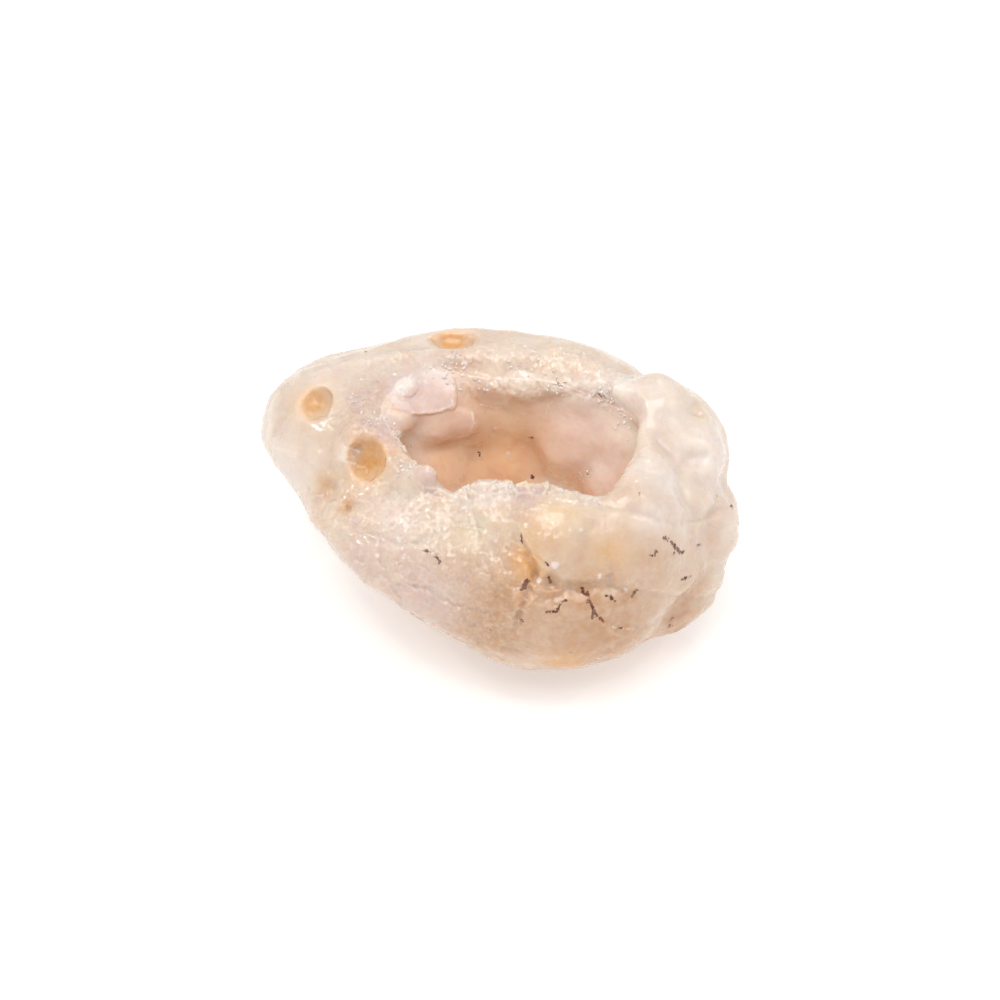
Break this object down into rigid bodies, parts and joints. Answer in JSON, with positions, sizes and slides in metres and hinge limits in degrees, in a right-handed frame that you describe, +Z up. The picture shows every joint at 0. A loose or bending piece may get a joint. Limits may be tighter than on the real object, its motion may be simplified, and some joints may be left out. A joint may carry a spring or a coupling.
{
  "type": "agate geode",
  "caption": "Teardrop-shaped agate geode, open on top, its hollow lined with a crust of crystals and rounded bosses; stands on a flat ground face.",
  "frame": {"origin": "centre of the bounding box at the ground face that the stone stands on", "axes": "+X along the stone towards its blunt end, +Z up out of the hollow, +Y away from the knobbly front"},
  "size_m": [0.0574, 0.0436, 0.0298],
  "materials": {
    "pale_chalcedony": "satin, slightly translucent pale peach chalcedony",
    "crystal_crust": "sparkling white to pink druse over peach chalcedony"
  },
  "bodies": {
    "root": {"geode_stone": "pale_chalcedony", "crystal_crust": "crystal_crust"}
  },
  "joints": []
}
